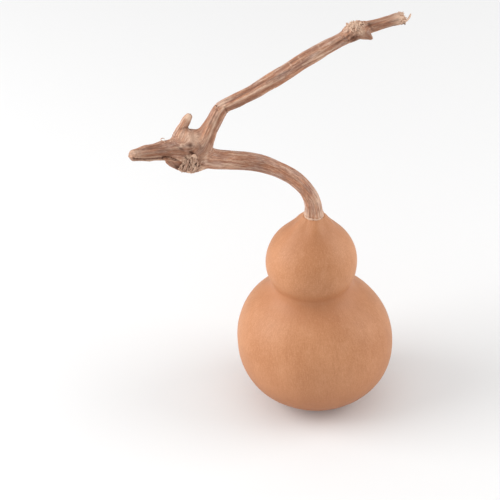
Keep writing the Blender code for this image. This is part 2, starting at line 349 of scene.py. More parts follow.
def dried_skin():
    """Satin dried rind: soft clouds of tan and brown, fine lengthwise streaks, a fine speckle and a few
    small dark dots, with a darker blossom scar, and painted shade darkening the waist, round the stem and
    underneath."""
    material = bpy.data.materials.new("dried_skin")
    material.use_nodes = True
    tree = material.node_tree
    shader = tree.nodes["Principled BSDF"]
    place = add(tree, "ShaderNodeTexCoord").outputs["Object"]
    grain = stored(tree, "grain", "Vector")
    scar = stored(tree, "scar")
    painted_shade = stored(tree, "painted_shade")
    clouds = stretched_noise(tree, place, (38.0, 38.0, 30.0), detail=3.0)
    patches = stretched_noise(tree, place, (140.0, 140.0, 110.0), detail=4.0)
    streaks = stretched_noise(tree, grain, (1.1, 1.1, 0.14), detail=5.0, roughness=0.62)
    hairs = stretched_noise(tree, grain, (2.3, 2.3, 0.45), detail=3.0, roughness=0.7)
    speckle = stretched_noise(tree, place, (1500.0, 1500.0, 1300.0), detail=2.0, roughness=0.7)
    dots = add(tree, "ShaderNodeTexVoronoi", vector=place, scale=95.0).outputs["Distance"]
    layers = [
        (clouds, (0.36, 0.66), SKIN_TAN),
        (patches, (0.5, 0.8, 0.0, 0.4), SKIN_PALE),
        (streaks, (0.52, 0.78, 0.0, 0.42), SKIN_STREAK_AND_SHADE),
        (hairs, (0.34, 0.5, 0.22, 0.0), SKIN_STREAK_AND_SHADE),
        (hairs, (0.52, 0.68, 0.0, 0.3), SKIN_PALE),
        (speckle, (0.3, 0.6, 0.2, 0.0), SKIN_STREAK_AND_SHADE),
        (speckle, (0.5, 0.75, 0.0, 0.28), SKIN_PALE),
        # painted shade: darker bands at the waist, round the stem and underneath, in the streak colour
        (painted_shade, (0.0, 1.0), SKIN_STREAK_AND_SHADE),
        (dots, (0.03, 0.055, 0.15, 0.0), SKIN_DOT),
        (scar, (0.0, 1.0), SKIN_SCAR),
    ]
    tree.links.new(layered(tree, SKIN_BROWN, layers), shader.inputs["Base Color"])
    gloss = span(tree, patches, 0.3, 0.7, *SKIN_ROUGHNESS)
    tree.links.new(gloss, shader.inputs["Roughness"])
    shader.inputs["Specular IOR Level"].default_value = SKIN_SPECULAR
    relief = calculate(tree, "ADD", calculate(tree, "MULTIPLY", streaks, 0.7), speckle)
    roughen(tree, shader, relief, SKIN_BUMP_STRENGTH, SKIN_BUMP_DEPTH)
    return material


fruit_places, fruit_turns, fruit_lengths = fruit_rings()
fruit_mesh = ring_mesh("gourd_skin", fruit_places)
fruit_grain = np.stack(
    [GRAIN_RADIUS * np.cos(fruit_turns), GRAIN_RADIUS * np.sin(fruit_turns), fruit_lengths], axis=-1
)
store(fruit_mesh, "grain", with_poles(fruit_grain))
heights = fruit_places[..., 2]
# Painted shade: the skin is darkened in bands at the waist, round the stem and underneath
fruit_painted_shade = sum(share * np.exp(-(((heights - centre) / spread) ** 2)) for centre, spread, share in PAINTED_SHADE_BANDS)
store(fruit_mesh, "painted_shade", with_poles(fruit_painted_shade))
at_scar = np.exp(-((np.hypot(fruit_places[..., 0], fruit_places[..., 1]) / SCAR_WIDTH) ** 2))
store(fruit_mesh, "scar", with_poles(at_scar * (heights < SCAR_DEPTH + 0.1)))
set_down("gourd_skin", fruit_mesh, dried_skin(), "gourd_body")


# The vine: the stem that carried the fruit, the swollen node where it left the vine, the stalk of a lost
# leaf, the vine's cut end and its bent, ribbed length up to the next knot. All of it grew as one piece of
# soft fibrous wood, and it dried grey-brown with straw-pale ridges.
STEM_ROUTE = [
    (-2.0, 0.0, 108.1, 4.9),
    (-2.1, 0.0, 109.6, 4.45),
    (-2.4, 0.0, 113.6, 4.05),
    (-3.5, 0.0, 118.0, 3.85),
    (-5.8, -0.3, 122.7, 3.7),
    (-9.0, -0.6, 127.3, 3.75),
    (-13.8, -1.0, 132.0, 3.8),
    (-20.1, -1.5, 136.2, 3.9),
    (-27.3, -2.0, 139.6, 4.3),
    (-35.0, -2.5, 141.6, 4.5),
    (-42.9, -2.8, 142.4, 4.6),
    (-51.3, -3.0, 143.3, 5.0),
    (-59.3, -3.0, 146.0, 5.6),
]
LEFT_STUB_ROUTE = [
    (-59.3, -3.0, 148.2, 6.4),
    (-66.8, -4.2, 149.0, 5.8),
    (-72.8, -5.2, 149.4, 4.9),
    (-78.8, -6.8, 149.9, 4.0),
    (-84.3, -8.3, 150.0, 3.4),
    (-89.3, -9.7, 149.8, 2.6),
]
LEAF_STUB_ROUTE = [
    (-65.7, -1.8, 152.0, 5.4),
    (-66.5, -0.8, 155.6, 3.9),
    (-65.3, 1.0, 159.0, 2.6),
    (-63.7, 2.5, 162.0, 2.25),
    (-62.5, 3.8, 163.3, 1.75),
]
NECK_ROUTE = [
    (-59.3, -3.0, 147.5, 5.6),
    (-55.3, -1.6, 153.0, 5.4),
    (-52.3, 0.8, 158.8, 4.2),
    (-49.2, 2.6, 163.8, 3.75),
    (-47.2, 3.6, 167.2, 3.4),
]
INTERNODE_ROUTE = [
    (-47.9, 3.6, 168.0, 3.0),
    (-44.3, 4.6, 169.6, 3.2),
    (-31.9, 8.0, 174.4, 3.5),
    (-18.7, 12.0, 181.2, 3.65),
    (-5.5, 16.4, 188.5, 3.7),
    (6.9, 20.4, 194.1, 3.25),
    (14.5, 22.9, 197.2, 3.15),
    (19.2, 24.3, 199.3, 3.0),
]
KNOT_ROUTE = [
    (12.6, 22.3, 196.8, 2.9),
    (14.3, 22.8, 198.0, 4.0),
    (16.9, 23.6, 199.5, 4.1),
    (19.7, 24.4, 200.3, 3.9),
    (21.9, 25.2, 200.3, 3.0),
]
THORN_ROUTE = [
    (19.1, 23.6, 199.2, 2.8),
    (22.3, 21.9, 198.7, 2.3),
    (25.2, 20.5, 197.5, 1.0),
]
TIP_ROUTE = [
    (17.2, 23.8, 199.4, 2.7),
    (23.7, 25.9, 200.5, 2.85),
    (31.3, 28.5, 201.2, 2.75),
    (41.0, 31.5, 202.4, 2.85),
]
NODE_LUMPS = [
    ((-61.1, -3.0, 148.6), (9.6, 6.4, 8.2)),
    ((-60.9, -1.2, 153.6), (6.6, 4.2, 4.6)),
    ((-66.3, -4.2, 143.2), (7.2, 4.2, 4.2)),
    ((-60.5, -4.2, 141.4), (6.0, 4.4, 4.0)),
]

# Ribs along the wood: how many, how deep as a share of the radius, and their turn per mm
STEM_RIBS = (7, 0.022, 0.006)
VINE_RIBS = (5, 0.085, 0.010)
KNOT_RIBS = (9, 0.05, 0.3)
NO_RIBS = (1, 0.0, 0.0)

# Slow changes of thickness along the wood: height in mm, length in mm, and their width across it
UNEVEN = [(0.26, 7.5), (0.14, 3.4)]
STEM_UNEVEN = [(0.08, 9.0)]
UNEVEN_WIDTH = 3.5

# Fibres: height in mm, length and width in mm of each size
STEM_FIBRES = [(0.10, 9.0, 1.7), (0.06, 5.0, 0.9)]
VINE_FIBRES = [(0.26, 16.0, 2.0), (0.14, 9.0, 1.1)]
NODE_FIBRES = [(0.34, 7.0, 2.2), (0.17, 3.6, 1.1)]
KNOT_FIBRES = [(0.34, 3.0, 1.6), (0.22, 1.6, 0.9)]

# The lumps' roughness: height in mm and width in mm of each size
LUMP_ROUGHNESS = [(0.35, 3.4), (0.2, 1.5)]

STATION_STEP = 0.8
FIBRE_RADIUS = 4.0
FULL_RELIEF_RADIUS = 2.4
ROUNDING_ANGLES = (20.0, 38.0, 54.0, 68.0, 79.0)
JOIN = 0.62
LUMP_JOIN = 1.5
REACH = 7.0
WOOD_VOXEL = 0.36 * MM
TUBE_SIDES = 28
LUMP_RINGS = 18
ROUTE_SAMPLES = 24

# Lines of sight: how far before the middle and for what height they start, and how they step on, in mm
SIGHT_MARGIN = 60.0
SIGHT_HEIGHT = 150.0
SIGHT_STEPS = 220
SIGHT_STEP = (-0.5, 3.0)
SIGHT_CAUTION = 0.8
SMOOTHING_ROUNDS = 3
FITTING_ROUNDS = 6
LONGEST_FIT = 0.35


def unit(vectors):
    """Each vector divided by its own length."""
    return vectors / np.linalg.norm(vectors, axis=1)[:, None]


def smooth_route(route, step=STATION_STEP):
    """Evenly spaced stations on a smooth curve through the route's points, each x, y, z and radius, and
    the length along it of each. The curve is a cubic between every two points, level with its neighbours."""
    points = np.array(route, float)
    padded = np.vstack([2 * points[0] - points[1], points, 2 * points[-1] - points[-2]])
    stretches = []
    for a, b, c, d in zip(padded, padded[1:], padded[2:], padded[3:]):
        t = np.linspace(0.0, 1.0, ROUTE_SAMPLES, endpoint=False)[:, None]
        curve = b + 0.5 * t * (c - a) + t**2 * (a - 2.5 * b + 2 * c - 0.5 * d)
        stretches.append(curve + t**3 * (1.5 * (b - c) + 0.5 * (d - a)))
    fine = np.vstack([*stretches, points[-1:]])
    along = np.concatenate([[0.0], np.cumsum(np.linalg.norm(np.diff(fine[:, :3], axis=0), axis=1))])
    wanted = np.linspace(0.0, along[-1], max(4, round(along[-1] / step) + 1))
    return wanted, np.stack([np.interp(wanted, along, fine[:, k]) for k in range(4)], axis=1)


def branch(route, ribs=NO_RIBS, fibres=VINE_FIBRES, seed=0, rounded=0.0, uneven=UNEVEN):
    """A length of wood: its stations, the directions along, across and away at each, and its relief. A
    rounded end is rounded times its radius long, and its radius falls off as a quarter circle."""
    along, stations = smooth_route(route)
    centre, radius = stations[:, :3], stations[:, 3]
    forward = unit(np.gradient(centre, axis=0))
    if rounded:
        rise = np.radians(ROUNDING_ANGLES)
        reach = np.sin(rise) * radius[-1] * rounded
        centre = np.vstack([centre, centre[-1] + reach[:, None] * forward[-1]])
        radius = np.concatenate([radius, radius[-1] * np.cos(rise)])
        forward = np.vstack([forward, np.repeat(forward[-1:], len(rise), axis=0)])
        along = np.concatenate([along, along[-1] + reach])
    away = unit(np.array([0.0, 1.0, 0.0]) - forward * forward[:, 1:2])
    return {
        "along": along,
        "centre": centre,
        "radius": radius,
        "forward": forward,
        "away": away,
        "across": np.cross(forward, away),
        "ribs": ribs,
        "fibres": fibres,
        "uneven": uneven,
        "seed": seed,
    }


def ridged(points, seed):
    """Noise folded at its middle value, from -1.5 in broad hollows to 0.5 on narrow ridges."""
    return 0.5 - 2.0 * np.abs(noise(points, seed))


def wood_relief(wood, grain, turn, radius):
    """How far the surface stands out from its radius: ribs that twist along the wood, slow changes of
    thickness and fibres. The last two die out where the wood is thin."""
    count, share, twist = wood["ribs"]
    relief = radius * share * np.cos(count * (turn + twist * grain[:, 0]))
    full = np.clip(radius / FULL_RELIEF_RADIUS, 0.0, 1.0)
    for k, (height, long) in enumerate(wood["uneven"]):
        stretched = grain / [long, UNEVEN_WIDTH, UNEVEN_WIDTH]
        relief = relief + height * full * noise(stretched, wood["seed"] + 5 + k)
    for k, (height, long, wide) in enumerate(wood["fibres"]):
        relief = relief + height * full * ridged(grain / [long, wide, wide], wood["seed"] + k)
    return relief


def on_branch(points, wood):
    """Where each point stands against a branch: its distance from the ribbed surface, its place in the
    grain as (length, two across) and its height in the relief. The nearest station gives the foot of the
    point on the middle line, after one step along the line's direction."""
    centre = wood["centre"]
    far = (points**2).sum(axis=1)[:, None] - 2.0 * points @ centre.T + (centre**2).sum(axis=1)[None]
    nearest = far.argmin(axis=1)
    offset = points - centre[nearest]
    forward = wood["forward"][nearest]
    step = (offset * forward).sum(axis=1)
    inside = np.clip(step, -STATION_STEP, STATION_STEP)
    at_start = nearest == 0
    at_end = nearest == len(centre) - 1
    inside = np.where(at_start, np.maximum(inside, 0.0), inside)
    inside = np.where(at_end, np.minimum(inside, 0.0), inside)
    past = np.where(at_start, np.maximum(-step, 0.0), 0.0) + np.where(at_end, np.maximum(step, 0.0), 0.0)
    length = wood["along"][nearest] + inside
    side = offset - forward * step[:, None]
    spread = np.linalg.norm(side, axis=1)
    up_share = -(side * wood["away"][nearest]).sum(axis=1)
    turn = np.arctan2(up_share, (side * wood["across"][nearest]).sum(axis=1))
    radius = np.interp(length, wood["along"], wood["radius"])
    grain = np.stack([length, FIBRE_RADIUS * np.cos(turn), FIBRE_RADIUS * np.sin(turn)], axis=1)
    relief = wood_relief(wood, grain, turn, radius)
    gap = spread - radius - relief
    past_end = np.hypot(np.maximum(gap, 0.0), past) + np.minimum(gap, 0.0)
    return np.where(past > 0.0, past_end, gap), grain, relief


def on_lump(points, centre, half_sizes):
    """Roughly how far each point is from a rounded lump: its distance from the middle as a share of the
    lump's half sizes, less 1, times the smallest half size."""
    share = np.linalg.norm((points - np.array(centre)) / np.array(half_sizes), axis=1)
    rough = 0.0
    for k, (height, wide) in enumerate(LUMP_ROUGHNESS):
        rough = rough + height * noise(points / wide, seed=71 + k)
    return (share - 1.0) * min(half_sizes) - rough


wood_branches = {
    "stem": branch(STEM_ROUTE, STEM_RIBS, STEM_FIBRES, seed=20, uneven=STEM_UNEVEN),
    "left_stub": branch(LEFT_STUB_ROUTE, VINE_RIBS, NODE_FIBRES, seed=30, rounded=0.9),
    "leaf_stub": branch(LEAF_STUB_ROUTE, NO_RIBS, STEM_FIBRES, seed=40, rounded=0.8),
    "neck": branch(NECK_ROUTE, VINE_RIBS, VINE_FIBRES, seed=50, rounded=0.6),
    "internode": branch(INTERNODE_ROUTE, VINE_RIBS, VINE_FIBRES, seed=60),
    "knot": branch(KNOT_ROUTE, KNOT_RIBS, KNOT_FIBRES, seed=70),
    "thorn": branch(THORN_ROUTE, NO_RIBS, KNOT_FIBRES, seed=80),
    "tip": branch(TIP_ROUTE, VINE_RIBS, VINE_FIBRES, seed=90),
}


def wood_surface(points):
    """How far each point is from the wood, with its place in the grain and its height in the relief. The
    branches' distances are joined by minus JOIN times the log of the sum of exp(-distance / JOIN), which
    fills the angles between them, and the same weights blend their grain. The node's lumps join last."""
    total = np.zeros(len(points))
    grain = np.zeros((len(points), 3))
    relief = np.zeros(len(points))
    for wood in wood_branches.values():
        low = wood["centre"].min(axis=0) - REACH
        high = wood["centre"].max(axis=0) + REACH
        near = np.nonzero(((points > low) & (points < high)).all(axis=1))[0]
        if not len(near):
            continue
        gap, place, height = on_branch(points[near], wood)
        weight = np.exp(-np.clip(gap, -REACH, REACH) / JOIN)
        total[near] += weight
        grain[near] += weight[:, None] * place
        relief[near] += weight * height
    total = np.maximum(total, 1e-12)
    grain /= total[:, None]
    relief /= total
    distance = -JOIN * np.log(total)
    lumps = sum(np.exp(-on_lump(points, *lump) / LUMP_JOIN) for lump in NODE_LUMPS)
    lump_distance = -LUMP_JOIN * np.log(np.maximum(lumps, 1e-12))
    share = np.clip(0.5 + 0.5 * (lump_distance - distance) / LUMP_JOIN, 0.0, 1.0)
    joined = lump_distance + (distance - lump_distance) * share - LUMP_JOIN * share * (1.0 - share)
    return joined, grain, relief


def seen_on_wood(pixels):
    """The points of the wood, in mm, that the camera sees at these places of the image: each moves along
    its line of sight by its distance from the wood until it meets it, and the nearest approach is kept."""
    pixels = np.array(pixels, float)
    right = (pixels[:, 0] - IMAGE_SIDE / 2) * PIXEL
    up = (IMAGE_SIDE / 2 - pixels[:, 1]) * PIXEL
    ray = unit(CAMERA_DISTANCE * look + right[:, None] * image_right + up[:, None] * image_up)
    before = SIGHT_MARGIN + SIGHT_HEIGHT * math.sin(ELEVATION)
    start = camera_place / MM + ray * (CAMERA_DISTANCE / MM - before)
    best = start.copy()
    least = np.full(len(pixels), np.inf)
    points = start.copy()
    for _ in range(SIGHT_STEPS):
        gap = wood_surface(points)[0]
        closer = np.abs(gap) < least
        best[closer] = points[closer]
        least = np.minimum(least, np.abs(gap))
        points = points + ray * np.clip(gap, *SIGHT_STEP)[:, None] * SIGHT_CAUTION
    return best


def path_through(points, step=0.5):
    """Evenly spaced points on a smooth curve through these."""
    return smooth_route([(*p, 1.0) for p in points], step)[1][:, :3]


def distance_to_path(points, path):
    """How far each point is from the nearest point of a path."""
    near = (points**2).sum(axis=1)[:, None] - 2.0 * points @ path.T + (path**2).sum(axis=1)[None]
    return np.sqrt(np.maximum(near.min(axis=1), 0.0))


# Marks on the wood, each where the photograph shows it: its path in pixels, its height above the wood in
# mm (less than nothing for a groove), its half width in mm, and how pale (or, less than nothing, how dark)
# it makes the wood
MARKS = [
    ([(134, 158.8), (142, 159.4), (150, 159.3), (158, 158.6), (165, 157.6)], -1.3, 0.5, -1.0),
    ([(163, 157.8), (168, 157.9), (173, 159), (178, 161.6), (184, 165)], -1.6, 0.65, -1.4),
    ([(136, 157.4), (143, 157.6), (150, 157.3), (157, 156.6), (162, 156.5)], 0.22, 0.4, 0.7),
    ([(131, 151.5), (137, 151), (141, 153.5), (139, 157)], 0.15, 0.5, 0.35),
    ([(134, 150), (136.5, 152.5), (136, 155.5)], -0.15, 0.35, -0.3),
    ([(131, 153), (133, 154.5), (133, 157)], -0.12, 0.35, -0.28),
    ([(137, 149.5), (140, 152.5), (141, 155)], -0.2, 0.45, -0.2),
    ([(130, 152.5), (137, 151), (146, 150)], 0.15, 0.35, 0.45),
    ([(131, 156.5), (138, 155.5), (146, 155.5)], 0.15, 0.3, 0.4),
    ([(143, 149.5), (152, 148), (163, 145.5)], -0.2, 0.6, -0.2),
    ([(160, 151), (172, 150), (184, 149.5)], -0.1, 0.9, -0.15),
    ([(203.5, 146), (209, 137), (212.8, 128), (217.6, 117), (222, 110), (225, 106)], 0.42, 0.55, 0.8),
    ([(204.5, 137), (208.5, 128), (213, 118), (217, 110)], -0.3, 0.5, -0.3),
    ([(207, 126), (211, 119), (215.5, 111)], 0.2, 0.35, 0.4),
    ([(209.5, 142), (214, 131), (219, 121), (224, 113.5)], -0.25, 0.4, -0.3),
    ([(224.5, 107), (226, 110.5), (227, 114)], -0.3, 0.4, -0.5),
    ([(229, 111.5), (236, 108.5), (246, 103)], -0.2, 0.4, -0.3),
    ([(220, 105), (225, 102), (231, 99)], 0.15, 0.4, 0.45),
    ([(228, 106), (240, 100), (255, 92), (270, 84.5), (284, 77)], 0.42, 0.4, 1.0),
    ([(231, 101.5), (245, 93), (262, 83), (276, 76)], -0.30, 0.45, -0.45),
    ([(266, 82), (272, 79), (280, 75), (290, 70)], -0.35, 0.4, -0.75),
    ([(244, 98.5), (258, 90.5), (272, 82.5)], 0.2, 0.3, 0.45),
    ([(289, 62.5), (291.5, 66)], 0.22, 0.35, 0.7),
    ([(298.5, 57), (301, 61)], 0.22, 0.35, 0.75),
    ([(306, 53.5), (309, 56)], 0.2, 0.3, 0.6),
    ([(318.5, 45.5), (320.5, 50)], 0.22, 0.35, 0.7),
    ([(206, 163), (215, 165.5), (227, 166.5), (240, 167)], 0.16, 0.5, 0.6),
    ([(209, 145), (207, 153), (205, 161)], 0.28, 0.8, 0.35),
    ([(184, 147), (189, 145), (194, 146)], -0.3, 0.5, -0.3),
    ([(303, 65), (312, 60), (323, 54.7)], 0.3, 0.4, 0.8),
    ([(288, 64), (300, 57.5), (312, 51), (324, 43.5)], -0.25, 0.4, -0.4),
    ([(296, 70), (308, 64), (322, 57), (334, 50)], -0.2, 0.35, -0.35),
    ([(379, 21), (389, 18), (400, 15)], 0.15, 0.3, 0.4),
    ([(386, 23.5), (392, 21.5), (398, 19)], -0.35, 0.35, -0.5),
    ([(392, 26.5), (397, 24.7), (401, 23.3)], -0.3, 0.3, -0.4),
    ([(380, 29), (392, 25.5), (403, 22)], 0.15, 0.3, 0.5),
    ([(171, 144), (177, 146), (184, 151)], -0.3, 0.5, -0.3),
    ([(190, 152), (194, 154.5), (197, 159)], -0.35, 0.45, -0.5),
    ([(176, 128), (181, 122), (186, 117.5)], 0.15, 0.5, 0.55),
    ([(180, 129), (185, 127.8), (189, 127)], -0.25, 0.5, -0.45),
    ([(336, 44), (343, 39.5), (350, 35.5)], -0.25, 0.5, -0.45),
    ([(342, 44.5), (348, 41), (354, 37)], -0.3, 0.45, -0.5),
    ([(369, 24), (371, 28), (374, 31.5)], -0.3, 0.6, -0.35),
    ([(374, 26.5), (384, 24), (395, 21), (401, 19.5)], -0.25, 0.4, -0.4),
    ([(372, 31), (384, 28), (396, 25)], -0.2, 0.35, -0.45),
]

# Broad bleached or stained spots, and a few dark ones that are painted shade under and beside the knot:
# where, how wide in mm, and how pale or, less than nothing, how dark
SPOTS_AND_PAINTED_SHADE = [
    ((130.5, 155.5), 2.0, 0.25),
    ((188.5, 116), 1.6, 0.9),
    ((197, 137), 3.2, 0.35),
    ((222, 105), 1.4, 0.4),
    ((216, 109.5), 1.3, -0.42),
    ((214.5, 116.5), 1.3, -0.35),
    ((211, 123.5), 1.3, -0.25),
    ((201, 150), 3.0, -0.22),
    ((190, 166), 3.2, -0.35),
    # painted shade under the knot
    ((355, 38.5), 2.6, -0.75),
    # painted shade in the gap between the knot's crust and the tip
    ((369, 25), 2.0, -0.35),
    ((193, 139), 3.2, 0.4),
    ((134, 153), 2.6, 0.25),
    ((188, 159.5), 2.0, 1.0),
    ((202, 169.5), 2.0, 0.9),
    ((190, 170), 2.4, 0.5),
    ((202.5, 157), 2.2, 0.3),
    ((185, 136), 3.4, 0.3),
    ((350, 26), 2.8, 0.75),
    ((358, 27), 2.8, 0.75),
    ((362, 33), 1.8, 0.5),
    ((305.5, 216), 1.9, 0.75),
    ((321.5, 214.5), 1.9, 0.6),
    ((312.5, 211), 2.4, -0.12),
    ((403, 18.5), 4.4, 1.0),
    ((313, 214), 3.2, 0.1),
    ((213.5, 124), 1.6, 0.35),
    ((190, 147.5), 3.0, -0.2),
    ((320, 56), 3.0, 0.3),
    ((318, 52), 2.0, -0.2),
    ((318, 200), 3.0, 0.5),
    ((316, 190), 2.6, 0.4),
    ((179, 168), 2.2, -0.7),
    ((187, 151), 4.2, -0.26),
    ((173, 150), 4.6, -0.28),
    ((158, 152), 4.6, -0.36),
    ((146, 153.5), 3.6, -0.26),
    ((138, 154), 2.6, -0.12),
    ((168, 163), 3.0, -0.3),
    ((176, 167), 2.2, -0.4),
    ((200, 147), 2.6, -0.3),
    ((206.5, 141), 2.6, -0.25),
    ((368, 36), 2.2, -0.45),
    ((190, 119), 1.8, 0.75),
    ((190.5, 145.5), 1.0, -0.45),
    ((192, 153), 1.0, -0.6),
    ((240, 106), 4.0, -0.15),
    # painted shade where the tip leaves the knot
    ((376, 24), 3.0, -0.15),
    ((246, 163), 5.0, -0.3),
    ((262, 165), 4.0, -0.3),
]

mark_paths = [path_through(seen_on_wood(pixels)) for pixels, *_ in MARKS]
spot_places = seen_on_wood([pixel for pixel, *_ in SPOTS_AND_PAINTED_SHADE])

# The torn place under the node, where another stem was pulled away, the hollow web above the node, and the
# ragged break at the tip. A grain is the size in mm of the roughness along each axis.
TORN_PLACE = seen_on_wood([(191, 166)])[0]
TORN_WIDTH = 4.8
TORN_RELIEF = 1.4
TORN_GRAIN = (1.6, 1.8, 3.0)
TORN_FINE_GRAIN = (0.8, 0.9, 1.3)
TORN_FINE_SHARE = 0.6
TORN_PALE = 1.2
TORN_DARK = 0.7
WEB_PLACE = seen_on_wood([(196, 136)])[0]
WEB_WIDTH = 3.4
WEB_DEPTH = 0.8
BROKEN_LENGTH = 1.8
BREAK_ROUNDING = 1.2
BREAK_GRAIN = (30.0, 1.1, 1.1)
BREAK_REACH = 8.0


def bell_round(points, place, width):
    """1 at the place, falling off as exp(-(distance / width)^2) all round it."""
    return np.exp(-(((points - place) ** 2).sum(axis=1) / width**2))


def carved_wood(points):
    """The wood with its marks: the distance less each mark's height times a bell over its half width, the
    torn place's rough relief, the web's hollow and the ragged break at the tip."""
    distance, grain, relief = wood_surface(points)
    pale = np.zeros(len(points))
    dark = np.zeros(len(points))
    for (_, height, width, tone), path in zip(MARKS, mark_paths):
        bell = np.exp(-((distance_to_path(points, path) / width) ** 2))
        distance = distance - height * bell
        pale += max(tone, 0.0) * bell
        dark += max(-tone, 0.0) * bell
    # spots: bleached or stained, and some dark ones by the knot that are painted shade
    for (_, width, tone), place in zip(SPOTS_AND_PAINTED_SHADE, spot_places):
        bell = bell_round(points, place, width)
        pale += max(tone, 0.0) * bell
        dark += max(-tone, 0.0) * bell
    torn = bell_round(points, TORN_PLACE, TORN_WIDTH)
    rough = ridged(points / TORN_GRAIN, seed=101)
    rough = rough + TORN_FINE_SHARE * ridged(points / TORN_FINE_GRAIN, seed=102)
    distance = distance - TORN_RELIEF * torn * rough
    pale += TORN_PALE * torn * np.clip(rough, 0.0, 1.0)
    dark += TORN_DARK * torn * np.clip(-rough, 0.0, 1.0)
    distance = distance + WEB_DEPTH * bell_round(points, WEB_PLACE, WEB_WIDTH)
    tip = wood_branches["tip"]
    past_tip = (points - tip["centre"][-1]) @ tip["forward"][-1]
    ragged = BROKEN_LENGTH * 0.5 * (1.5 + ridged(points / BREAK_GRAIN, seed=103))
    at_tip = np.linalg.norm(points - tip["centre"][-1], axis=1) < BREAK_REACH
    distance = np.where(at_tip, smooth_max(distance, past_tip + ragged, BREAK_ROUNDING), distance)
    return distance, grain, relief, np.clip(pale, 0.0, 1.0), np.clip(dark, 0.0, 1.0)


def joined_mesh(name, meshes):
    """One mesh with the points and faces of several, which it takes the place of."""
    points = []
    faces = []
    for mesh in meshes:
        start = len(points)
        points += [v.co[:] for v in mesh.vertices]
        faces += [[start + v for v in face.vertices] for face in mesh.polygons]
        bpy.data.meshes.remove(mesh)
    joined = bpy.data.meshes.new(name)
    joined.from_pydata(points, [], faces)
    joined.shade_smooth()
    return joined


def rough_wood():
    """One closed mesh of small even faces round all the branches and lumps, near the final surface."""
    turn = np.linspace(0.0, 2.0 * math.pi, TUBE_SIDES, endpoint=False)[:, None]
    tubes = []
    for name, wood in wood_branches.items():
        round_it = np.cos(turn) * wood["across"][:, None] - np.sin(turn) * wood["away"][:, None]
        rings = wood["centre"][:, None] + wood["radius"][:, None, None] * round_it
        if name == "tip":
            rings = rings[: -round(0.5 * BROKEN_LENGTH / STATION_STEP)]
        tubes.append(ring_mesh(name, rings))
    for k, (centre, half_sizes) in enumerate(NODE_LUMPS):
        rise = np.linspace(-math.pi / 2, math.pi / 2, LUMP_RINGS)[1:-1, None, None]
        round_it = np.concatenate(
            [np.cos(rise) * np.cos(turn), np.cos(rise) * np.sin(turn), np.sin(rise) + 0.0 * turn], axis=-1
        )
        tubes.append(ring_mesh(f"lump_{k}", np.array(centre) + round_it * np.array(half_sizes)))
    rough = bpy.data.objects.new("rough_wood", joined_mesh("rough_wood", tubes))
    bpy.context.scene.collection.objects.link(rough)
    remesh = rough.modifiers.new("even_faces", "REMESH")
    remesh.mode = "VOXEL"
    remesh.voxel_size = WOOD_VOXEL
    soften = rough.modifiers.new("soften", "SMOOTH")
    soften.factor = 0.5
    soften.iterations = SMOOTHING_ROUNDS
    graph = bpy.context.evaluated_depsgraph_get()
    even = bpy.data.meshes.new_from_object(rough.evaluated_get(graph))
    bpy.data.objects.remove(rough)
    even.name = "vine_wood"
    return even


def fit_to_wood(mesh):
    """Moves every point of the mesh along its normal by its distance from the carved wood, a few times."""
    count = len(mesh.vertices)
    flat = np.empty(count * 3, np.float32)
    for _ in range(FITTING_ROUNDS):
        mesh.vertices.foreach_get("co", flat)
        points = flat.reshape(-1, 3).astype(float) / MM
        normals = np.empty(count * 3, np.float32)
        mesh.vertex_normals.foreach_get("vector", normals)
        gap = carved_wood(points)[0]
        moved = points - normals.reshape(-1, 3) * np.clip(gap, -LONGEST_FIT, LONGEST_FIT)[:, None]
        mesh.vertices.foreach_set("co", (moved * MM).astype(np.float32).ravel())
        mesh.update()
    return moved


WOOD_BROWN = srgb(197, 150, 124)
WOOD_DARK = srgb(140, 94, 72)
WOOD_GREY = srgb(192, 163, 150)
WOOD_STRAW = srgb(236, 202, 176)
WOOD_RUST = srgb(200, 139, 106)
WOOD_CRACK = srgb(76, 46, 34)
WOOD_ROUGHNESS = 0.82
WOOD_SPECULAR = 0.25
WOOD_BUMP_STRENGTH = 0.8
WOOD_BUMP_DEPTH = 0.45 * MM


